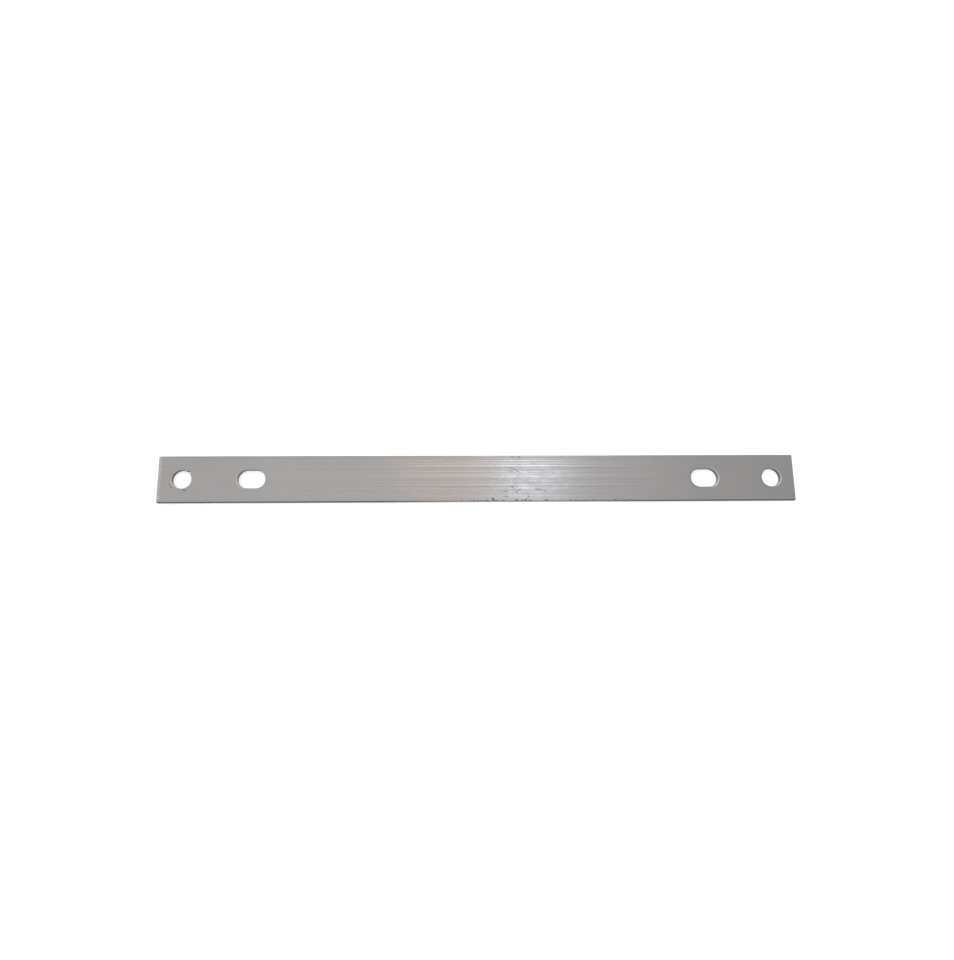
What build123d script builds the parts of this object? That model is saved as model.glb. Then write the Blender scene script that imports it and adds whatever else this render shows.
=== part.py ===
from build123d import *
import os

# Joining plate: a straight length of extruded aluminium flat bar that bridges
# the butt joint between two framing extrusions. Each half has a round hole near
# its end, which sets the position, and a lengthwise slot further in, which
# leaves room to adjust before the bolts are tightened.
#
# It is one piece of metal. The bar is sheared to length and its openings are
# punched from the upper face, so every cut edge has the same section: a rounded
# rollover where the tool enters, a clean straight band, and a breakout where the
# metal tears just before the tool comes through.
#
# Millimetres. The origin is at the centre of the underside, +X runs along the
# bar, +Y across it and +Z up through its thickness.

# Flat bar stock
PLATE_LENGTH = 340.0
BAR_WIDTH = 25.0
BAR_THICKNESS = 3.0
BAR_CORNER_RADIUS = 0.4  # on the four long corners, as the die leaves them

# Openings, repeated in mirror image about the middle of the plate
HOLE_DIAMETER = 10.0  # coarse clearance for an 8 mm bolt
HOLE_END_DISTANCE = 12.5  # from the sheared end to the centre of the hole
SLOT_WIDTH = 10.0
SLOT_TRAVEL = 4.5  # between the centres of its two round ends
SLOT_END_DISTANCE = 49.0  # from the sheared end to the centre of the slot

# Section of a punched or sheared edge
ROLLOVER_WIDTH = 1.4  # how far from the cut the face starts to curve down
ROLLOVER_DEPTH = 0.4
SHEAR_ROLLOVER_WIDTH = 2.0  # an open blade draws down a wider strip than a punch does
SHEAR_ROLLOVER_DEPTH = 0.3
BREAKOUT_SETBACK = 0.15  # how far the torn metal lies behind the clean band
BREAKOUT_HEIGHT = 0.6

TOOL_OVERRUN = 4.0  # how far a cutting tool reaches past the bar


def cut_section(reach, rollover_width=ROLLOVER_WIDTH, rollover_depth=ROLLOVER_DEPTH):
    """Section of what a punch or shear blade takes away.

    Local X runs from the middle of the tool to its cutting edge at `reach`, and
    local Y runs up through the bar, which the tool enters from above.
    """
    band_top = BAR_THICKNESS - rollover_depth
    breakout = (reach + BREAKOUT_SETBACK, 0)
    band_start = (reach, BREAKOUT_HEIGHT)
    band_end = (reach, band_top)
    shoulder = (reach + rollover_width, BAR_THICKNESS)
    below, above = -TOOL_OVERRUN, BAR_THICKNESS + TOOL_OVERRUN
    rollover = EllipticalCenterArc(
        center=(shoulder[0], band_top),
        x_radius=rollover_width,
        y_radius=rollover_depth,
        start_angle=180,
        arc_size=-90,
    )
    outline = [
        Polyline((0, above), (0, below), (breakout[0], below), breakout, band_start, band_end),
        rollover,
        Polyline(shoulder, (shoulder[0], above), (0, above)),
    ]
    return make_face(Curve() + outline)


def round_punch(diameter):
    return revolve(Plane.XZ * cut_section(diameter / 2), Axis.Z)


def slot_punch(width, travel):
    """Punch for a slot along X: a straight middle between two half-round ends."""
    section = Plane.YZ * cut_section(width / 2)
    to_left_end = Pos(-travel / 2, 0, 0)
    back_half = to_left_end * extrude(section, travel)
    middle = back_half + mirror(back_half, about=Plane.XZ)
    left_end = to_left_end * revolve(section, Axis.Z, 180)
    return middle + [left_end, mirror(left_end, about=Plane.YZ)]


def flat_bar(length):
    """Extruded bar with its four long corners rounded, lying on the XY plane."""
    section = Pos(0, BAR_THICKNESS / 2) * RectangleRounded(BAR_WIDTH, BAR_THICKNESS, BAR_CORNER_RADIUS)
    return extrude(Plane.YZ * section, length / 2, both=True)


def shear_blades():
    """Blades that cut the two ends of the plate from a longer bar.

    The same stroke leaves a rollover on the upper face of one piece and on the
    lower face of the next, so the second blade is the first one turned over.
    """
    section = Plane.XZ * cut_section(TOOL_OVERRUN, SHEAR_ROLLOVER_WIDTH, SHEAR_ROLLOVER_DEPTH)
    blade_width = BAR_WIDTH + 2 * TOOL_OVERRUN
    blade = Pos(0, blade_width / 2, 0) * extrude(section, blade_width)
    left = Pos(-PLATE_LENGTH / 2 - TOOL_OVERRUN, 0, 0) * blade
    mid_height = Axis((0, 0, BAR_THICKNESS / 2), (0, 1, 0))
    return [left, left.rotate(mid_height, 180)]


def joining_plate():
    hole_x = PLATE_LENGTH / 2 - HOLE_END_DISTANCE
    slot_x = PLATE_LENGTH / 2 - SLOT_END_DISTANCE
    hole = round_punch(HOLE_DIAMETER)
    slot = slot_punch(SLOT_WIDTH, SLOT_TRAVEL)
    untrimmed_length = PLATE_LENGTH + TOOL_OVERRUN  # leaves an offcut for each blade
    plate = flat_bar(untrimmed_length) - shear_blades()
    plate -= [Pos(x, 0, 0) * hole for x in (-hole_x, hole_x)]
    plate -= [Pos(x, 0, 0) * slot for x in (-slot_x, slot_x)]
    return plate


os.makedirs("parts", exist_ok=True)
plate = joining_plate()
plate.label = "joining_plate"
export_step(plate, "parts/joining_plate.step")
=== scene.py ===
import math
import random

import bmesh
import bpy
from bpy.props import FloatProperty, FloatVectorProperty, IntProperty, PointerProperty
from mathutils import Euler, Matrix, Vector, noise


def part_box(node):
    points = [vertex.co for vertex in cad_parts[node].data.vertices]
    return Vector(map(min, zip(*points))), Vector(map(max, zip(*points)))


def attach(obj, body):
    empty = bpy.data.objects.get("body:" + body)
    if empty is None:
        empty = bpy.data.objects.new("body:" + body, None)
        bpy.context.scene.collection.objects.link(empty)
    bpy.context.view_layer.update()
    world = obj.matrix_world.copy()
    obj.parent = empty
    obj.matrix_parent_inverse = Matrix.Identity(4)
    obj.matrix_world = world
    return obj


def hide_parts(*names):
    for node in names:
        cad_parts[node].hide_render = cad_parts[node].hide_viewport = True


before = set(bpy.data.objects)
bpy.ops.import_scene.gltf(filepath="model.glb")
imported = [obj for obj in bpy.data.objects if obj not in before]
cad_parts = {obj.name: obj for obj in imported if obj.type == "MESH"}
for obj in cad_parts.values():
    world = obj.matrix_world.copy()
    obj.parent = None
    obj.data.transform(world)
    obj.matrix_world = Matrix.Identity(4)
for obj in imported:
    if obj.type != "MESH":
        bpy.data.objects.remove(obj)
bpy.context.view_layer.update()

bl_info = {
    "name": "Extrusion joining plate",
    "version": (1, 0, 0),
    "blender": (4, 5, 0),
    "location": "3D View > Sidebar > Joining plate",
    "description": "Builds a punched aluminium joining plate with its wear, on a pale studio stage",
    "category": "Add Mesh",
}

MM = 0.001
NODE = "joining_plate"
PLATE_LOW, PLATE_HIGH = (Vector(corner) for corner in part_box(NODE))
LENGTH, WIDTH, THICKNESS = PLATE_HIGH - PLATE_LOW

OVERRUN = 4 * MM  # how far a cutting tool reaches past the bar
WELD = 1e-7  # vertices closer than this are one vertex
SKIN, SHADED_SIDE, ROLLOVER, LIT_END_ROLLOVER, SHADED_BAND, SHADED_TEAR, SCRAPE, SHADED_DENT = range(8)  # the plate's material slots

# Seeds of the random draws. Each cut, dent, rub and scrape counts on from its group's seed.
TOP_LINES_SEED, BOTTOM_LINES_SEED, KNOCKS_SEED = 11, 23, 5
PUNCH_SEED, BLADE_SEED, DENT_SEED, RUB_SEED, SCRAPE_SEED = 0, 10, 20, 120, 80


# ---------------------------------------------------------------- properties


def linear_rgb(hex_colour):
    """Linear red, green and blue of a colour written as sRGB hex, such as #a0a0a0."""
    values = []
    for start in (1, 3, 5):
        channel = int(hex_colour[start : start + 2], 16) / 255
        dark = channel <= 0.04045
        values.append(channel / 12.92 if dark else ((channel + 0.055) / 1.055) ** 2.4)
    return values


def size(label, text, millimetres):
    """Length property, given in millimetres and kept in metres."""
    return FloatProperty(
        name=label, description=text, default=millimetres * MM, min=0.0, precision=5, unit="LENGTH"
    )


def colour(label, text, hex_colour):
    """Colour property, given as sRGB hex and kept as linear values."""
    return FloatVectorProperty(
        name=label, description=text, default=linear_rgb(hex_colour), min=0.0, max=1.0, subtype="COLOR"
    )


def steps(label, text, count):
    """Number of flats that stand for a curve."""
    return IntProperty(name=label, description=text, default=count, min=4)


class PlateSizes(bpy.types.PropertyGroup):
    """Sizes of the bar, its cuts and its die lines, and how finely they are drawn"""

    corner_radius: size("Corner radius", "Radius that the die leaves on the four long corners", 0.4)
    hole_diameter: size("Hole diameter", "Clear width of each round hole", 10.0)
    hole_end_distance: size("Hole end distance", "From the sheared end to the middle of the hole", 12.5)
    slot_width: size("Slot width", "Clear width of each slot", 10.0)
    slot_travel: size("Slot travel", "Between the centres of a slot's two round ends", 4.5)
    slot_end_distance: size("Slot end distance", "From the sheared end to the middle of the slot", 49.0)
    rollover_width: size("Rollover width", "How far from a cut the face starts to curve down", 1.4)
    rollover_depth: size("Rollover depth", "How far the curve drops before the straight band", 0.4)
    shear_rollover_width: size("Shear rollover width", "Width of the rollover at a sheared end", 2.0)
    shear_rollover_depth: size("Shear rollover depth", "Depth of the rollover at a sheared end", 0.3)
    breakout_setback: size("Breakout setback", "How far the torn metal lies behind the band", 0.15)
    breakout_height: size("Breakout height", "Height of the torn metal above the underside", 0.6)
    tear_unevenness: size("Tear unevenness", "How far the edge of the torn metal wanders", 0.1)
    die_line_spacing: size("Die line spacing", "Average distance from one die line to the next", 0.5)
    die_line_depth: size("Die line depth", "Depth of an ordinary die line", 0.035)
    deep_line_depth: size("Deep line depth", "Depth of a line that stands out, for a lean of 1", 0.062)
    deep_line_width: size("Deep line width", "Width of the wide slope of such a line", 0.6)
    corner_steps: steps("Corner steps", "Flats across a rounded long corner", 6)
    round_steps: steps("Round steps", "Flats around a round hole", 96)
    rollover_steps: steps("Rollover steps", "Flats across a rollover", 8)
    blade_steps: steps("Blade steps", "Flats along a sheared end", 70)


class PlateColours(bpy.types.PropertyGroup):
    """Base colours of the metal's finishes and of the floor"""

    dull_line: colour("Dull line", "Dull lines in the skin", "#9e9c9b")
    bright_line: colour("Bright line", "Bright lines in the skin", "#a3a1a0")
    # in the rubbed patch, which lies where the lamp's highlight falls, the brighter crests and darker
    # hollows are partly wear and partly a painted highlight
    rubbed_hollow_and_shade: colour("Rubbed hollow", "Between die lines where the bar is rubbed", "#908e8e")
    rubbed_crest_and_highlight: colour("Rubbed crest", "Tops of die lines where the bar is rubbed", "#b0aead")
    # the sheared band's and the torn metal's colours are painted shade: the walls of the cuts drawn dark
    band: colour("Sheared band", "Metal burnished by the side of the tool", "#3e3c3a")
    shaded_tear: colour("Torn metal", "Grainy metal where the cut broke through", "#323030")
    # the long sides' colour is painted shade: the sides and the contact shadow at their foot drawn
    # darker
    side: colour("Long side", "Duller skin of the bar's long sides", "#4e4c4a")
    rollover: colour("Rollover", "Skin stretched and roughened beside a cut", "#a2a09e")
    # the end shoulder's colour is a painted highlight: drawn lighter where the sheared end faces the
    # light
    lit_end_rollover: colour("End rollover", "The same at the sheared ends, rubbed bright", "#acaaa8")
    scrape: colour("Scrape", "Metal turned up by a scrape", "#9c9a98")
    # the dents' colour is painted shade: their hollows drawn darker
    dent_shade: colour("Bruise", "Grime and bruised metal in dents", "#7c7874")
    floor: colour("Floor", "Matt paper that the plate lies on", "#ebebea")


# ---------------------------------------------------------------- materials


def add(tree, kind, inputs=None, **settings):
    """Adds a node to a tree. Inputs are numbers, colours or the sockets that feed them."""
    node = tree.nodes.new(kind)
    for name, value in settings.items():
        setattr(node, name, value)
    for name, value in (inputs or {}).items():
        if isinstance(value, bpy.types.NodeSocket):
            tree.links.new(value, node.inputs[name])
        else:
            node.inputs[name].default_value = value
    return node


def empty_material(name):
    """New material without nodes, and its node tree."""
    material = bpy.data.materials.new(name)
    material.use_nodes = True
    material.node_tree.nodes.clear()
    return material, material.node_tree


def scaled(rgb, share):
    """Lighter or darker colour, with each channel multiplied by the same share."""
    return [share * channel for channel in rgb]


def grain(tree, millimetres, detail=2.0):
    """Noise on Object coordinates, from 0 to 1, whose features are about so many millimetres
    in X, Y and Z."""
    place = add(tree, "ShaderNodeTexCoord").outputs["Object"]
    scale = [1 / (mm * MM) for mm in millimetres]
    placed = add(tree, "ShaderNodeMapping", {"Vector": place, "Scale": scale})
    field = add(
        tree, "ShaderNodeTexNoise", {"Vector": placed.outputs["Vector"], "Scale": 1.0, "Detail": detail}
    )
    return field.outputs["Fac"]


# Patterns in the skin. Real die lines lie about a tenth of a millimetre apart, which is too
# fine to show, so both kinds are drawn coarser than that.
FINE_LINES = (1000, 0.45, 0.45)  # size of a feature in mm, along, across and up
BROAD_LINES = (1000, 1.05, 1.05)
CLOUDS = (16, 9, 9)  # slow changes of tone over the lines
MOTTLE = (3.5, 2, 2)  # blotches where the bar is scuffed
MOTTLE_STRENGTH = 0.45  # how far a blotch pushes a line up or down
# the rubbed patch lies where the lamp's highlight falls; its brighter crests and darker hollows are
# partly a painted highlight
RUBBED_AND_LIT = (18, 0), (85, 30)  # where the top is rubbed: middle of the patch and its reach, in mm
SCUFFED = (27, -1), (36, 17)  # where it is mottled as well
PATCH_CORE = 0.2  # share of a patch's reach over which it is at its full strength


def patch(tree, middle, reach):
    """From 1 in the middle of an oval patch of the top, down to 0 around it. The middle and
    the reach, along and across the bar, are in millimetres."""
    place = add(tree, "ShaderNodeTexCoord").outputs["Object"]
    shift = [-m / r for m, r in zip(middle, reach)]
    scale = [1 / (r * MM) for r in reach]
    centred = add(
        tree, "ShaderNodeMapping", {"Vector": place, "Location": (*shift, 0), "Scale": (*scale, 0)}
    ).outputs["Vector"]
    away = add(tree, "ShaderNodeVectorMath", {0: centred}, operation="LENGTH").outputs["Value"]
    return add(
        tree,
        "ShaderNodeMapRange",
        {"Value": away, "From Min": PATCH_CORE, "From Max": 1.0, "To Min": 1.0, "To Max": 0.0},
        interpolation_type="SMOOTHSTEP",
    ).outputs[0]


def skin_colour(tree, lines, dull, bright):
    """Colour of untouched skin: dull and bright lines, slightly clouded."""
    clouds = grain(tree, CLOUDS, detail=3.0)
    clouded = add(tree, "ShaderNodeMath", {0: lines, 1: clouds}, operation="ADD")
    # the lines run mostly from 0.7 to 1.3, and the clouds add 0.5 on average
    tone = add(
        tree, "ShaderNodeMapRange", {"Value": clouded.outputs[0], "From Min": 1.1, "From Max": 1.9}
    ).outputs[0]
    return add(
        tree, "ShaderNodeMix", {"Factor": tone, "A": (*dull, 1), "B": (*bright, 1)}, data_type="RGBA"
    ).outputs["Result"]


def rubbed_and_lit_colour(tree, lines, hollow, crest):
    """Colour of rubbed skin: the crests of the lines are bright and the hollows stay dark, partly
    wear and partly a painted highlight where the lamp's highlight falls, and blotches break
    them up where the bar is scuffed."""
    mottle = add(
        tree,
        "ShaderNodeMapRange",
        {
            "Value": grain(tree, MOTTLE, detail=3.0),
            "To Min": -MOTTLE_STRENGTH,
            "To Max": MOTTLE_STRENGTH,
        },
    ).outputs[0]
    mottled_lines = add(
        tree, "ShaderNodeMath", {0: patch(tree, *SCUFFED), 1: mottle, 2: lines}, operation="MULTIPLY_ADD"
    ).outputs[0]
    crests = add(
        tree, "ShaderNodeMapRange", {"Value": mottled_lines, "From Min": 0.75, "From Max": 1.25}
    ).outputs[0]
    return add(
        tree, "ShaderNodeMix", {"Factor": crests, "A": (*hollow, 1), "B": (*crest, 1)}, data_type="RGBA"
    ).outputs["Result"]


def mill_finish(name, dull, bright):
    """Extruded aluminium as it leaves the die: drawn out lengthways into fine lines, so a lamp
    smears far across the bar and little along it. The eye sees grey streaks that flash
    white under the lamp. In the rubbed patch the crests are drawn brighter and the hollows
    darker, partly wear and partly a painted highlight where the lamp's highlight falls."""
    colours = bpy.context.scene.plate_colours
    material, tree = empty_material(name)
    fine_lines = grain(tree, FINE_LINES, detail=1.0)
    broad_lines = grain(tree, BROAD_LINES, detail=1.0)
    lines = add(tree, "ShaderNodeMath", {0: fine_lines, 1: broad_lines}, operation="ADD").outputs[0]
    # the rubbed patch's colours are partly wear and partly a painted highlight
    skin = add(
        tree,
        "ShaderNodeMix",
        {
            "Factor": patch(tree, *RUBBED_AND_LIT),
            "A": skin_colour(tree, lines, dull, bright),
            "B": rubbed_and_lit_colour(tree, lines, colours.rubbed_hollow_and_shade, colours.rubbed_crest_and_highlight),
        },
        data_type="RGBA",
    ).outputs["Result"]
    rough = add(
        tree,
        "ShaderNodeMapRange",
        {"Value": lines, "From Min": 0.7, "From Max": 1.3, "To Min": 0.24, "To Max": 0.30},
    ).outputs[0]
    relief = add(
        tree, "ShaderNodeBump", {"Height": fine_lines, "Strength": 1.0, "Distance": 0.01 * MM}
    ).outputs["Normal"]
    surface = add(tree, "ShaderNodeNewGeometry").outputs["Normal"]
    across = add(
        tree, "ShaderNodeVectorMath", {0: surface, 1: (1, 0, 0)}, operation="CROSS_PRODUCT"
    ).outputs["Vector"]
    shader = add(
        tree,
        "ShaderNodeBsdfPrincipled",
        {
            "Base Color": skin,
            "Metallic": 1.0,
            "Roughness": rough,
            "Anisotropic": 0.95,
            "Tangent": across,
            "Normal": relief,
        },
    )
    add(tree, "ShaderNodeOutputMaterial", {"Surface": shader.outputs["BSDF"]})
    return material


def worked_metal(name, base, contrast, roughness, feature_mm, bump_mm):
    """Aluminium bared or bent by a tool, which has lost the bar's long lines and has a grain of
    its own. Without the lines a lamp no longer smears across it. The grain's features are
    given in millimetres, along, across and up, and contrast is how far it strays from the
    base colour."""
    material, tree = empty_material(name)
    speckle = grain(tree, feature_mm, detail=3.0)
    dark = scaled(base, 1 - contrast)
    light = scaled(base, 1 + contrast)
    blend = add(
        tree, "ShaderNodeMix", {"Factor": speckle, "A": (*dark, 1), "B": (*light, 1)}, data_type="RGBA"
    )
    relief = add(
        tree, "ShaderNodeBump", {"Height": speckle, "Strength": 1.0, "Distance": bump_mm * MM}
    ).outputs["Normal"]
    shader = add(
        tree,
        "ShaderNodeBsdfPrincipled",
        {
            "Base Color": blend.outputs["Result"],
            "Metallic": 1.0,
            "Roughness": roughness,
            "Normal": relief,
        },
    )
    add(tree, "ShaderNodeOutputMaterial", {"Surface": shader.outputs["BSDF"]})
    return material


def plate_materials():
    """The plate's materials, in the order of its slots."""
    colours = bpy.context.scene.plate_colours
    line_shade = 0.92  # the dull lines of the sides and rollovers, against the bright ones
    return [
        # skin of the wide faces: grey streaks that flash white where they mirror a lamp
        mill_finish("mill_finish_extruded_aluminium", colours.dull_line, colours.bright_line),
        # skin of the long sides: the same lines, much darker, painted shade on the sides and the contact
        # shadow along their foot
        mill_finish("shaded_side_aluminium", scaled(colours.side, line_shade), colours.side),
        # skin stretched over the shoulder of a cut: it keeps its lines, a little duller
        mill_finish("stretched_aluminium", scaled(colours.rollover, line_shade), colours.rollover),
        # shoulder of a sheared end: lighter than the skin, a painted highlight where it faces the light,
        # with painted glints in its grain
        worked_metal(
            "lit_end_aluminium",
            colours.lit_end_rollover,
            contrast=0.45,
            roughness=0.4,
            feature_mm=(1.2, 1.2, 1.2),
            bump_mm=0.02,
        ),
        # sheared: burnished by the tool's side, with upright lines, and drawn dark as painted shade on
        # the walls of the cuts
        worked_metal(
            "shaded_sheared_aluminium",
            colours.band,
            contrast=0.2,
            roughness=0.35,
            feature_mm=(0.2, 0.2, 2.5),
            bump_mm=0.01,
        ),
        # torn: a coarse grain, drawn dark as painted shade on the walls of the cuts
        worked_metal(
            "shaded_torn_aluminium",
            colours.shaded_tear,
            contrast=0.25,
            roughness=0.6,
            feature_mm=(0.15, 0.15, 0.15),
            bump_mm=0.04,
        ),
        # scraped: broken up by the scrape's own furrows
        worked_metal(
            "scraped_aluminium",
            colours.scrape,
            contrast=0.35,
            roughness=0.5,
            feature_mm=(0.6, 0.3, 0.3),
            bump_mm=0.02,
        ),
        # dents: darker and dull, painted shade in their hollows
        worked_metal(
            "shaded_dent_aluminium",
            colours.dent_shade,
            contrast=0.35,
            roughness=0.55,
            feature_mm=(0.4, 0.4, 0.4),
            bump_mm=0.02,
        ),
    ]


# ---------------------------------------------------------------- mesh tools


def chosen(elements, test):
    """Elements that pass a test, as a list that stays good while they change."""
    return [element for element in elements if test(element)]


def wander(place, feature, seed):
    """Smooth noise from -1 to 1, whose features are about as large as asked for. Each seed
    reads the noise in another place."""
    return noise.noise(Vector(place) / feature + Vector((seed, 0.7 * seed, 1.3 * seed)))


def finished(bm, name, materials):
    """Turns a bmesh into an object with its faces pointing outwards, and lets the bmesh go."""
    bmesh.ops.remove_doubles(bm, verts=bm.verts, dist=WELD)
    bmesh.ops.recalc_face_normals(bm, faces=bm.faces)
    mesh = bpy.data.meshes.new(name)
    bm.to_mesh(mesh)
    bm.free()
    for material in materials:
        mesh.materials.append(material)
    piece = bpy.data.objects.new(name, mesh)
    bpy.context.scene.collection.objects.link(piece)
    return piece


# ---------------------------------------------------------------- bar


LINE_MARGIN = 0.1 * MM  # from the outermost die lines to the bar's rounded corners
LINE_CLEARANCE = 0.12 * MM  # what lies nearer than this to a slope that stands out is taken away
STEEP_SLOPE = 0.1 * MM  # width of the steep back of a line that stands out
# the outer part of each rounded corner takes the sides' painted shade
SHADED_CORNER = 0.8  # share of a rounded corner's width that is as dull as the side

# Lines in the top skin that stand out: place across the bar in millimetres, and lean
DEEP_LINES = (
    (11.5, -1.3),
    (10.65, -0.7),
    (9.85, 0.7),
    (9.15, -0.8),
    (8.3, 0.3),
    (7.7, -0.7),
    (6.9, 1.25),
    (6.2, -0.4),
    (5.45, 0.3),
    (4.65, -1.1),
    (3.8, 0.6),
    (2.75, 0.5),
    (1.9, -0.4),
    (1.1, 0.8),
    (-0.5, -0.3),
    (-1.5, 0.3),
    (-2.5, -0.8),
    (-3.4, 0.5),
    (-4.1, -0.3),
    (-5.35, 0.6),
    (-6.5, -0.8),
    (-7.6, 0.2),
    (-8.4, -0.5),
    (-9.2, 0.3),
    (-10.3, -0.3),
    (-11.1, -0.8),
)


def die_lines(sizes, seed):
    """Places across the bar and the depth of the skin there, in metres. They lie further apart
    than real die lines, which are too fine to show."""
    rng = random.Random(seed)
    outermost = WIDTH / 2 - sizes.corner_radius - LINE_MARGIN
    lines = {}
    y = -outermost
    while y < outermost:
        lines[y] = sizes.die_line_depth * rng.random()
        y += sizes.die_line_spacing * rng.uniform(0.5, 1.5)
    return lines


def add_deep_lines(sizes, lines, marks):
    """Works the lines that stand out into the ordinary die lines. Each is a saw tooth: one wide
    slope that faces the light or turns away from it, and one steep slope back. A mark is a
    place across the bar in millimetres and a lean: above 0 its wide slope faces the back of
    the bar, and the depth grows with the lean. Where two marks lie close, the later one cuts
    into the earlier."""
    half = sizes.deep_line_width / 2
    for place, lean in marks:
        y = place * MM
        for other in chosen(lines, lambda at: abs(at - y) < half + LINE_CLEARANCE):
            del lines[other]
        towards = math.copysign(1, lean)
        lines[y - towards * half] = 0
        lines[y + towards * half] = abs(lean) * sizes.deep_line_depth
        lines[y + towards * (half + STEEP_SLOPE)] = 0


def sink_lines(bm, lines, level, inward, reach):
    """Cuts one flat face of the bar along its die lines and moves each line to its depth.
    The face lies at a level, and inward is 1 where the metal is above it and -1 below. The
    face's own edges, at reach from its middle, stay where they are."""
    for y in lines:
        faces = chosen(bm.faces, lambda face: all(abs(v.co.z - level) < WELD for v in face.verts))
        edges = [edge for face in faces for edge in face.edges]
        verts = [vert for face in faces for vert in face.verts]
        geometry = list(dict.fromkeys([*faces, *edges, *verts]))
        bmesh.ops.bisect_plane(bm, geom=geometry, plane_co=(0, y, 0), plane_no=(0, 1, 0), dist=WELD)
    for vert in bm.verts:
        if abs(vert.co.z - level) < WELD and abs(vert.co.y) < reach - WELD:
            nearest = min(lines, key=lambda y: abs(y - vert.co.y))
            vert.co.z += inward * lines[nearest]


def bar_blank(sizes):
    """Length of extruded bar, with its four long corners rounded and die lines above and below."""
    bm = bmesh.new()
    bmesh.ops.create_cube(bm, size=1)
    bmesh.ops.scale(bm, verts=bm.verts, vec=(LENGTH + 2 * OVERRUN, WIDTH, THICKNESS))
    bmesh.ops.translate(bm, verts=bm.verts, vec=(0, 0, THICKNESS / 2))
    bmesh.ops.bevel(
        bm,
        geom=chosen(bm.edges, lambda edge: edge.calc_length() > LENGTH),
        offset=sizes.corner_radius,
        offset_type="OFFSET",
        affect="EDGES",
        segments=sizes.corner_steps,
        profile=0.5,
        material=-1,
    )
    flat = WIDTH / 2 - sizes.corner_radius
    # the long sides and the outer part of their corners take the darker side colour, painted shade
    shaded_from = WIDTH / 2 - SHADED_CORNER * sizes.corner_radius
    for face in bm.faces:
        away = abs(face.calc_center_median().y)
        face.smooth = flat + WELD < away <= WIDTH / 2 - WELD
        face.material_index = SHADED_SIDE if away > shaded_from else SKIN
    top = die_lines(sizes, TOP_LINES_SEED)
    add_deep_lines(sizes, top, DEEP_LINES)
    sink_lines(bm, top, THICKNESS, -1, flat)
    sink_lines(bm, die_lines(sizes, BOTTOM_LINES_SEED), 0, 1, flat)
    return bm


# ---------------------------------------------------------------- cutting tools


def tool_edge(bm, sizes, reach, rollover):
    """Wire in the XZ plane that a punch or blade sweeps: from the tool's middle below the
    bar, up the cut, out over the rollover and back to the middle above the bar. A rollover is
    a width and a depth. Gives back the wire's two ends."""
    across, deep = rollover
    band_top = THICKNESS - deep
    torn_reach = reach + sizes.breakout_setback
    lower = [(0, -OVERRUN), (torn_reach, -OVERRUN), (torn_reach, 0)]
    lower += [(reach, sizes.breakout_height), (reach, band_top)]
    wire = [bm.verts.new((x, 0, z)) for x, z in lower]
    centre = Vector((reach + across, 0, band_top))
    arc = bmesh.ops.spin(
        bm,
        geom=wire[-1:],
        cent=centre,
        axis=(0, 1, 0),
        angle=math.pi / 2,
        steps=sizes.rollover_steps,
    )
    shoulder = arc["geom_last"][0]
    on_arc = chosen(bm.verts, lambda vert: vert.co.z > band_top + WELD)
    flatten = Matrix.Diagonal((1, 1, deep / across, 1))
    bmesh.ops.transform(bm, matrix=flatten, space=Matrix.Translation(-centre), verts=on_arc)
    upper = [shoulder] + [bm.verts.new((x, 0, THICKNESS + OVERRUN)) for x in (centre.x, 0)]
    for chain in (wire, upper):
        for pair in zip(chain, chain[1:]):
            bm.edges.new(pair)
    return upper[-1], wire[0]


def round_punch(sizes):
    """Punch for a round hole at the origin, spun from the tool's edge."""
    bm = bmesh.new()
    tool_edge(bm, sizes, sizes.hole_diameter / 2, (sizes.rollover_width, sizes.rollover_depth))
    bmesh.ops.spin(
        bm,
        geom=bm.verts[:] + bm.edges[:],
        cent=(0, 0, 0),
        axis=(0, 0, 1),
        angle=math.tau,
        steps=sizes.round_steps,
        use_merge=True,
    )
    return bm


def slot_punch(sizes):
    """Punch for a slot at the origin: half a round punch, drawn out to the middle of the slot
    and mirrored."""
    bm = bmesh.new()
    tool_edge(bm, sizes, sizes.slot_width / 2, (sizes.rollover_width, sizes.rollover_depth))
    quarter_turn = Matrix.Rotation(math.pi / 2, 3, "Z")
    bmesh.ops.rotate(bm, verts=bm.verts, cent=(0, 0, 0), matrix=quarter_turn)
    bmesh.ops.spin(
        bm,
        geom=bm.verts[:] + bm.edges[:],
        cent=(0, 0, 0),
        axis=(0, 0, 1),
        angle=math.pi,
        steps=sizes.round_steps // 2,
    )
    bmesh.ops.remove_doubles(bm, verts=bm.verts, dist=WELD)
    half = Vector((sizes.slot_travel / 2, 0, 0))
    bmesh.ops.translate(bm, verts=bm.verts, vec=-half)
    drawn = bmesh.ops.extrude_edge_only(bm, edges=chosen(bm.edges, lambda edge: edge.is_boundary))
    moved = chosen(drawn["geom"], lambda element: isinstance(element, bmesh.types.BMVert))
    bmesh.ops.translate(bm, verts=moved, vec=half)
    everything = bm.verts[:] + bm.edges[:] + bm.faces[:]
    bmesh.ops.mirror(bm, geom=everything, axis="X", merge_dist=WELD)
    return bm


def shear_blade(sizes):
    """Blade that trims the left end of the bar, drawn across it in short steps."""
    bm = bmesh.new()
    rollover = (sizes.shear_rollover_width, sizes.shear_rollover_depth)
    bm.edges.new(tool_edge(bm, sizes, OVERRUN, rollover))
    travel = WIDTH + 2 * OVERRUN
    bmesh.ops.translate(bm, verts=bm.verts, vec=(PLATE_LOW.x - OVERRUN, -travel / 2, 0))
    bmesh.ops.spin(
        bm,
        geom=bm.verts[:] + bm.edges[:],
        cent=(0, 0, 0),
        axis=(0, 0, 1),
        angle=0,
        steps=sizes.blade_steps,
        dvec=(0, travel / sizes.blade_steps, 0),
    )
    bmesh.ops.holes_fill(bm, edges=chosen(bm.edges, lambda edge: edge.is_boundary))
    return bm


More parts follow.
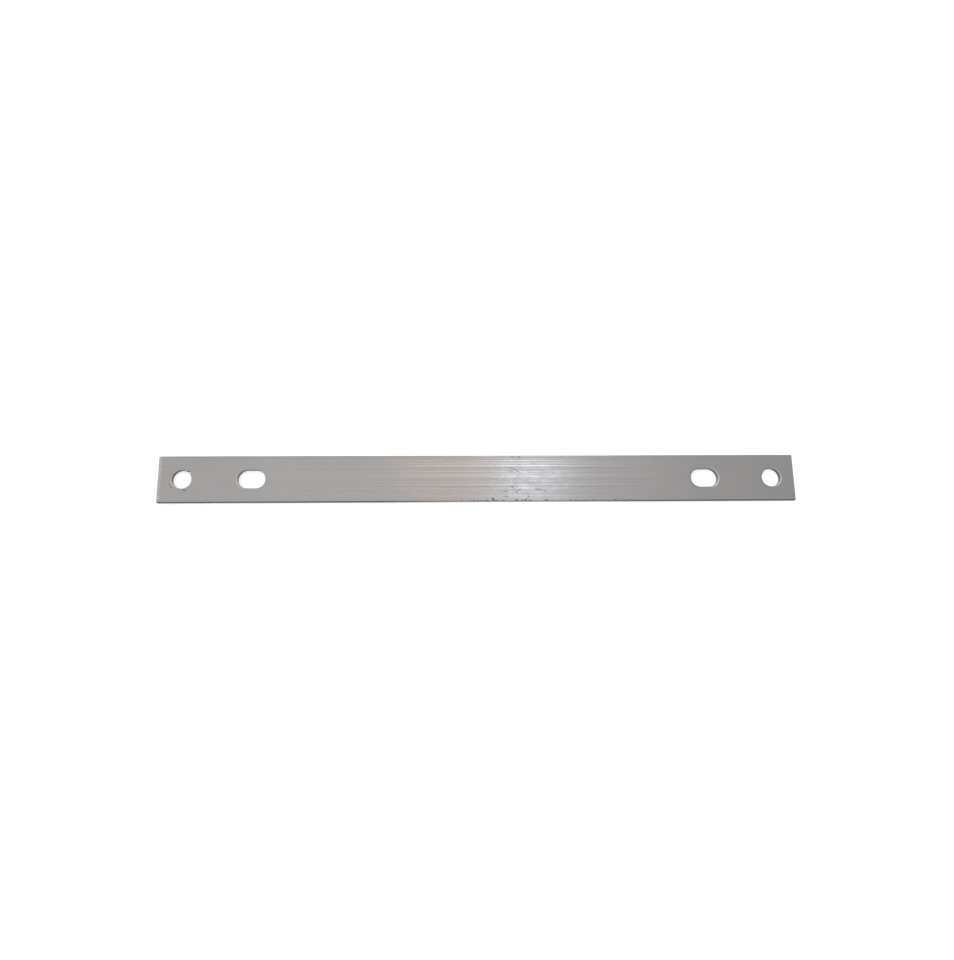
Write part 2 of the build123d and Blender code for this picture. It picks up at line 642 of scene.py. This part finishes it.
def roughen_tear(bm, sizes, seed):
    """Lets the line between the clean band and the torn metal wander up and down."""
    feature = 1.5 * MM
    for vert in bm.verts:
        if abs(vert.co.z - sizes.breakout_height) < WELD:
            vert.co.z += sizes.tear_unevenness * wander(vert.co, feature, seed)


def paint_cut(bm, rollover_depth, rollover_material):
    """Gives each face of a tool the finish that it leaves: stretched skin, clean band or torn
    metal. The band and the torn metal are drawn dark, painted shade on the walls of the cuts."""
    for face in bm.faces:
        heights = [vert.co.z for vert in face.verts]
        if max(heights) > THICKNESS - rollover_depth + WELD:
            face.material_index = rollover_material
        elif min(heights) > WELD:
            face.material_index = SHADED_BAND
        else:
            face.material_index = SHADED_TEAR
        face.smooth = True


def painted(bm, material):
    """Gives a whole tool one finish, and hands it back."""
    for face in bm.faces:
        face.material_index = material
        face.smooth = True
    return bm


LUMPINESS = 0.35  # how far a dent strays from a ball, as a share of its radius
LUMP_FEATURE = 0.8  # size of a lump on a ball of radius 1
DENT_LEAN = 0.6  # how far a dent may lie askew, in radians either way
SCRAPE_SIDES = 8  # flats around a scrape
SCRAPE_STEP = 0.4 * MM  # length of each straight piece of a scrape
SCRAPE_SKIP = 0.9  # how unevenly a scrape bites, from 0 for an even groove
SCRAPE_FEATURE = 0.8 * MM  # length of each bite
THINNEST = 0.15  # share of its full size that a scrape keeps where it fades out


def dent(x, y, across, inward, deep, seed):
    """Lump that presses a dent into the top. Places and sizes are in millimetres: the width
    along the bar, the reach across it on either side of the place, and the depth."""
    rng = random.Random(seed)
    bm = bmesh.new()
    bmesh.ops.create_icosphere(bm, subdivisions=3, radius=1)
    for vert in bm.verts:
        vert.co *= 1 + LUMPINESS * wander(vert.co, LUMP_FEATURE, seed)
    # tumbled, so that no corner of the lump lies just on a face of the bar
    tumble = Euler([rng.uniform(0, math.tau) for _ in range(3)]).to_matrix()
    bmesh.ops.rotate(bm, verts=bm.verts, cent=(0, 0, 0), matrix=tumble)
    bmesh.ops.scale(bm, verts=bm.verts, vec=(across / 2 * MM, inward * MM, deep * MM))
    lean = Matrix.Rotation(rng.uniform(-DENT_LEAN, DENT_LEAN), 3, "Z")
    bmesh.ops.rotate(bm, verts=bm.verts, cent=(0, 0, 0), matrix=lean)
    bmesh.ops.translate(bm, verts=bm.verts, vec=(x * MM, y * MM, THICKNESS))
    return bm


def circle_centre(a, b, c):
    """Centre of the circle through three points."""
    ab, ac = b - a, c - a
    across = Vector(
        (
            ac.y * ab.length_squared - ab.y * ac.length_squared,
            ab.x * ac.length_squared - ac.x * ab.length_squared,
        )
    )
    return a + across / (2 * ab.cross(ac))


def scrape(points, across, deep, seed):
    """Groove scraped along an arc through three points, which fades in and out. Sizes are in
    millimetres."""
    start, middle, end = (Vector(point) * MM for point in points)
    centre = circle_centre(start, middle, end)
    turns = [math.atan2(*reversed(point - centre)) for point in (start, middle, end)]
    sweep = sum((b - a + math.pi) % math.tau - math.pi for a, b in zip(turns, turns[1:]))
    radius = (start - centre).length
    upright = Matrix.Rotation(math.pi / 2, 3, "X")
    bm = bmesh.new()
    bmesh.ops.create_circle(bm, segments=SCRAPE_SIDES, radius=1)
    bmesh.ops.rotate(bm, verts=bm.verts, cent=(0, 0, 0), matrix=upright)
    bmesh.ops.scale(bm, verts=bm.verts, vec=(across / 2 * MM, 1, deep * MM))
    bmesh.ops.translate(bm, verts=bm.verts, vec=(radius, 0, 0))
    bmesh.ops.spin(
        bm,
        geom=bm.verts[:] + bm.edges[:],
        cent=(0, 0, 0),
        axis=(0, 0, 1),
        angle=sweep,
        steps=max(6, round(abs(sweep) * radius / SCRAPE_STEP)),
    )
    for vert in bm.verts:
        turn = math.atan2(vert.co.y, vert.co.x)
        along = min(1, max(0, turn / sweep))
        spine = Vector((math.cos(turn), math.sin(turn), 0)) * radius
        bite = 1 + SCRAPE_SKIP * wander(spine, SCRAPE_FEATURE, seed)
        fade = math.sin(math.pi * along) ** 0.5 * bite
        vert.co = spine + (vert.co - spine) * max(THINNEST, fade)
    bmesh.ops.holes_fill(bm, edges=chosen(bm.edges, lambda edge: edge.is_boundary))
    to_start = Matrix.Rotation(turns[0], 3, "Z")
    bmesh.ops.rotate(bm, verts=bm.verts, cent=(0, 0, 0), matrix=to_start)
    bmesh.ops.translate(bm, verts=bm.verts, vec=(*centre, THICKNESS))
    return bm


# ---------------------------------------------------------------- cuts and wear


CRISP_ANGLE = math.radians(25)  # edges that turn further than this stay sharp
FRONT_EDGE = -12.5  # of the top, across the bar in millimetres

# Dents in the top, drawn darker as painted shade, in millimetres: place along and across the bar, width,
# reach and depth
DENTS = (
    (7.2, FRONT_EDGE, 1.5, 2.2, 0.25),
    (8.2, FRONT_EDGE, 0.8, 0.8, 0.20),
    (23.7, FRONT_EDGE, 2.4, 0.8, 0.30),
    (-10.0, FRONT_EDGE, 1.2, 0.7, 0.18),
    (48.0, FRONT_EDGE, 1.6, 0.7, 0.18),
    (72.3, FRONT_EDGE, 2.2, 0.8, 0.15),
    (-163.5, -2.8, 0.7, 0.5, 0.07),
    (-162.7, -4.2, 0.8, 0.5, 0.07),
    (-155.8, -5.9, 1.8, 0.5, 0.15),
    (-154.1, 3.7, 2.0, 0.9, 9.00),  # right through, at the rim of the left hole
)

# Rubbed dents, which are bare metal, given the same way
RUBS = (
    (17.8, 12.3, 2.6, 0.9, 0.10),
    (20.9, 11.6, 1.6, 0.9, 0.06),
    (-35.2, 12.4, 3.4, 0.6, 0.10),
    (-75.5, 12.4, 5.0, 0.5, 0.08),
    (-106.0, 12.4, 2.0, 0.6, 0.08),
    (13.6, -7.2, 1.8, 0.6, 0.03),
)

# Scrapes in the top, in millimetres: three points on the arc, width and depth
SCRAPES = (
    (((12.2, 5.9), (18.4, 4.8), (21.6, 2.2)), 0.9, 0.06),
    (((13.2, 4.4), (15.8, 4.1), (18.4, 3.1)), 0.8, 0.05),
    (((18.8, -9.1), (19.8, -7.2), (22.0, -5.9)), 0.8, 0.04),
    (((28.8, -6.0), (32.4, -6.5), (35.8, -7.9)), 0.8, 0.03),
    (((15.8, -4.1), (16.9, -4.7), (17.8, -6.0)), 0.8, 0.04),
    (((24.0, -12.2), (25.0, -10.9), (26.4, -9.6)), 0.9, 0.05),
    (((11.6, -10.0), (13.4, -10.2), (15.2, -10.1)), 0.6, 0.02),
    (((27.0, 9.4), (28.6, 8.2), (29.4, 6.4)), 0.5, 0.02),
)

# Small knocks along the front edge, in millimetres
WORN_EDGE = (-6, 84)  # stretch of the edge where they lie
KNOCKS = 50  # how many there are
KNOCK_WIDTH = (0.5, 2.6)  # least and greatest
KNOCK_REACH = (0.2, 0.75)
KNOCK_DEPTH = 0.25


def knocks():
    """Small dents scattered along the worn stretch of the front edge."""
    rng = random.Random(KNOCKS_SEED)
    made = []
    for _ in range(KNOCKS):
        x = rng.uniform(*WORN_EDGE)
        across = rng.uniform(*KNOCK_WIDTH)
        inward = rng.uniform(*KNOCK_REACH)
        made.append((x, FRONT_EDGE, across, inward, KNOCK_DEPTH))
    return made


def cutters(sizes, materials):
    """Every tool and knock that takes metal off the bar, in place."""
    made = []

    def place(bm, name, moved=None):
        tool = finished(bm, name, materials)
        if moved:
            tool.data.transform(moved)
        made.append(tool)

    hole_x = LENGTH / 2 - sizes.hole_end_distance
    slot_x = LENGTH / 2 - sizes.slot_end_distance
    punches = (round_punch, -hole_x), (slot_punch, -slot_x), (slot_punch, slot_x), (round_punch, hole_x)
    for number, (punch, x) in enumerate(punches):
        bm = punch(sizes)
        paint_cut(bm, sizes.rollover_depth, ROLLOVER)
        roughen_tear(bm, sizes, PUNCH_SEED + number)
        place(bm, "punch", Matrix.Translation((x, 0, 0)))
    mid_height = Matrix.Translation((0, 0, THICKNESS / 2))
    turned_over = mid_height @ Matrix.Rotation(math.pi, 4, "Y") @ mid_height.inverted()
    for number, moved in enumerate((None, turned_over)):
        bm = shear_blade(sizes)
        # the sheared ends' shoulders take the lighter colour, a painted highlight
        paint_cut(bm, sizes.shear_rollover_depth, LIT_END_ROLLOVER)
        roughen_tear(bm, sizes, BLADE_SEED + number)
        place(bm, "blade", moved)
    # dents and knocks take the darker dent colour, painted shade in their hollows
    for number, measures in enumerate((*DENTS, *knocks())):
        place(painted(dent(*measures, seed=DENT_SEED + number), SHADED_DENT), "dent")
    for number, measures in enumerate(RUBS):
        place(painted(dent(*measures, seed=RUB_SEED + number), SCRAPE), "rub")
    for number, measures in enumerate(SCRAPES):
        place(painted(scrape(*measures, seed=SCRAPE_SEED + number), SCRAPE), "scrape")
    return made


def cut(bar, tools):
    """Takes every tool out of the bar, and deletes the tools."""
    for tool in tools:
        boolean = bar.modifiers.new(tool.name, "BOOLEAN")
        boolean.operation = "DIFFERENCE"
        boolean.solver = "EXACT"
        boolean.material_mode = "TRANSFER"
        boolean.object = tool
    graph = bpy.context.evaluated_depsgraph_get()
    cut_mesh = bpy.data.meshes.new_from_object(bar.evaluated_get(graph))
    bar.modifiers.clear()
    blank = bar.data
    bar.data = cut_mesh
    bpy.data.meshes.remove(blank)
    for tool in tools:
        mesh = tool.data
        bpy.data.objects.remove(tool)
        bpy.data.meshes.remove(mesh)


def crisp_edges(piece):
    """Keeps sharp edges from being shaded round. Stops if the piece isn't closed."""
    bm = bmesh.new()
    bm.from_mesh(piece.data)
    if not all(edge.is_manifold for edge in bm.edges):
        raise RuntimeError(f"{piece.name} isn't closed: a cut failed")
    for edge in bm.edges:
        edge.smooth = edge.calc_face_angle() < CRISP_ANGLE
    bm.to_mesh(piece.data)
    bm.free()


# ---------------------------------------------------------------- stage


FLOOR_REACH = 3.0  # metres from the middle of the floor to its sides
FLOOR_STEPS = 8  # squares along each side of it
PAPER_CLOUDS = (8, 8, 8)  # size of a cloud in mm
PAPER_SHADE = 0.97  # the darkest of a cloud against the lightest
PAPER_GLOW = 0.5  # light of its own that the paper sends to the eye

# Lamps: name, place, the point it faces, breadth in X and Y, watts and the tint of its light,
# with places and sizes in metres. All three stand behind the bar, and its lines smear them far
# across it: the key brightens it coolly just right of the middle, the warm lamp just left of
# the middle, and the fill all along.
LAMPS = (
    ("key_lamp", (0.142, 0.561, 1.0), (0.025, 0, 0), (0.110, 0.15), 0.66, (0.81, 0.885, 1.0)),
    ("warm_lamp", (-0.009, 0.561, 1.0), (-0.03, 0, 0), (0.185, 0.15), 0.245, (1.0, 0.62, 0.38)),
    ("fill_lamp", (0.0, 0.561, 1.0), (0, 0, 0), (0.8, 0.3), 0.36, (1.0, 0.96, 0.93)),
)

# Brightness of the room by direction, whose X is -1 on the far left and 1 on the far right
LEFT_LEVEL = 1.17
RIGHT_LEVEL = 0.83
SHADE_FROM, SHADE_TO = 0.12, 0.5  # where the light drops once more, towards a darker right side
SHADE = 0.80  # share of the light that is left beyond that

# Camera: where it stands and what it looks at in millimetres, its roll in radians, its lens
# and sensor in millimetres, and the nearest thing that it shows in metres
CAMERA_PLACE = (-18.81, -104.52, 441.55)
CAMERA_TARGET = (-1.66, -0.63, 1.5)
CAMERA_ROLL = 0.1556
LENS = 31.69
SENSOR = 36
NEAREST = 0.01


def floor_material():
    """Matt pale paper. It is lit softly and glows a little to the eye, so that it stays
    white around the plate and still takes its shadow. Its fibres are too fine to show, and
    the faint clouds in it are far coarser."""
    colours = bpy.context.scene.plate_colours
    material, tree = empty_material("matt_paper")
    clouds = grain(tree, PAPER_CLOUDS, detail=3.0)
    shade = scaled(colours.floor, PAPER_SHADE)
    paper = add(
        tree,
        "ShaderNodeMix",
        {"Factor": clouds, "A": (*shade, 1), "B": (*colours.floor, 1)},
        data_type="RGBA",
    )
    # seen is above 0 for light on its way to the eye, straight or by way of the metal
    path = add(tree, "ShaderNodeLightPath").outputs
    seen = add(
        tree, "ShaderNodeMath", {0: path["Is Camera Ray"], 1: path["Is Glossy Ray"]}, operation="ADD"
    ).outputs[0]
    seen = add(
        tree, "ShaderNodeMath", {0: seen, 1: path["Is Transmission Ray"]}, operation="ADD"
    ).outputs[0]
    glow = add(
        tree, "ShaderNodeMath", {0: seen, 1: PAPER_GLOW}, operation="MULTIPLY", use_clamp=True
    ).outputs[0]
    shader = add(
        tree,
        "ShaderNodeBsdfPrincipled",
        {
            "Base Color": paper.outputs["Result"],
            "Roughness": 0.9,
            "Specular IOR Level": 0.1,
            "Emission Color": (1, 1, 1, 1),
            "Emission Strength": glow,
        },
    )
    add(tree, "ShaderNodeOutputMaterial", {"Surface": shader.outputs["BSDF"]})
    return material


def room(scene):
    """Soft light from all around, which falls off evenly from left to right and drops once
    more towards a darker right side."""
    world = bpy.data.worlds.new("studio")
    world.use_nodes = True
    scene.world = world
    tree = world.node_tree
    tree.nodes.clear()
    direction = add(tree, "ShaderNodeTexCoord").outputs["Generated"]
    split = add(tree, "ShaderNodeSeparateXYZ", {"Vector": direction}).outputs
    slope = add(
        tree,
        "ShaderNodeMapRange",
        {"Value": split["X"], "From Min": -1.0, "To Min": LEFT_LEVEL, "To Max": RIGHT_LEVEL},
    ).outputs[0]
    darker_side = add(
        tree,
        "ShaderNodeMapRange",
        {
            "Value": split["X"],
            "From Min": SHADE_FROM,
            "From Max": SHADE_TO,
            "To Min": 1.0,
            "To Max": SHADE,
        },
        interpolation_type="SMOOTHSTEP",
    ).outputs[0]
    level = add(tree, "ShaderNodeMath", {0: slope, 1: darker_side}, operation="MULTIPLY").outputs[0]
    light = add(tree, "ShaderNodeBackground", {"Color": (1, 1, 1, 1), "Strength": level})
    add(tree, "ShaderNodeOutputWorld", {"Surface": light.outputs["Background"]})


def lamp(name, place, target, breadth, power, tint):
    """Soft rectangular lamp that faces a point."""
    data = bpy.data.lights.new(name, "AREA")
    data.shape = "RECTANGLE"
    data.size, data.size_y = breadth
    data.energy = power
    data.color = tint
    holder = bpy.data.objects.new(name, data)
    holder.location = place
    holder.rotation_euler = (Vector(target) - Vector(place)).to_track_quat("-Z", "Y").to_euler()
    bpy.context.scene.collection.objects.link(holder)


def stand_camera(scene):
    """Camera above the front of the plate, looking down at its middle."""
    data = bpy.data.cameras.new("camera")
    data.lens = LENS
    data.sensor_width = SENSOR
    data.clip_start = NEAREST
    camera = bpy.data.objects.new("camera", data)
    place = Vector(CAMERA_PLACE) * MM
    target = Vector(CAMERA_TARGET) * MM
    aim = (target - place).to_track_quat("-Z", "Y").to_matrix().to_4x4()
    camera.matrix_world = Matrix.Translation(place) @ aim @ Matrix.Rotation(CAMERA_ROLL, 4, "Z")
    scene.collection.objects.link(camera)
    scene.camera = camera


# ---------------------------------------------------------------- operators


class PLATE_OT_plate(bpy.types.Operator):
    """Build the plate from a length of bar: punch it, shear its ends and knock it about"""

    bl_idname = "joining_plate.plate"
    bl_label = "Joining plate"
    bl_options = {"REGISTER", "UNDO"}

    def execute(self, context):
        sizes = context.scene.plate_sizes
        materials = plate_materials()
        plate = finished(bar_blank(sizes), "plate", materials)
        cut(plate, cutters(sizes, materials))
        crisp_edges(plate)
        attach(plate, "root")
        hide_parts(NODE)
        return {"FINISHED"}


class PLATE_OT_stage(bpy.types.Operator):
    """Set out the paper, the lamps and the camera"""

    bl_idname = "joining_plate.stage"
    bl_label = "Stage"
    bl_options = {"REGISTER", "UNDO"}

    def execute(self, context):
        scene = context.scene
        bm = bmesh.new()
        bmesh.ops.create_grid(bm, x_segments=FLOOR_STEPS, y_segments=FLOOR_STEPS, size=FLOOR_REACH)
        floor = finished(bm, "floor", [floor_material()])
        room(scene)
        for settings in LAMPS:
            lamp(*settings)
        stand_camera(scene)
        scene.view_settings.view_transform = "Standard"
        return {"FINISHED"}


class PLATE_PT_panel(bpy.types.Panel):
    """Sizes, colours and the steps that build the plate and its stage"""

    bl_idname = "PLATE_PT_panel"
    bl_label = "Joining plate"
    bl_space_type = "VIEW_3D"
    bl_region_type = "UI"
    bl_category = "Joining plate"

    def draw(self, context):
        layout = self.layout
        for group in (context.scene.plate_sizes, context.scene.plate_colours):
            column = layout.column(align=True)
            for name in group.__annotations__:
                column.prop(group, name)
        layout.operator(PLATE_OT_plate.bl_idname)
        layout.operator(PLATE_OT_stage.bl_idname)


CLASSES = (PlateSizes, PlateColours, PLATE_OT_plate, PLATE_OT_stage, PLATE_PT_panel)


def register():
    """Adds the classes, and the sizes and colours to the scene."""
    for kind in CLASSES:
        bpy.utils.register_class(kind)
    bpy.types.Scene.plate_sizes = PointerProperty(type=PlateSizes)
    bpy.types.Scene.plate_colours = PointerProperty(type=PlateColours)


def unregister():
    """Takes away all that register added."""
    del bpy.types.Scene.plate_colours
    del bpy.types.Scene.plate_sizes
    for kind in reversed(CLASSES):
        bpy.utils.unregister_class(kind)


def main():
    """Builds the plate and its stage."""
    register()
    bpy.ops.joining_plate.plate()
    bpy.ops.joining_plate.stage()


if __name__ == "__main__":
    main()
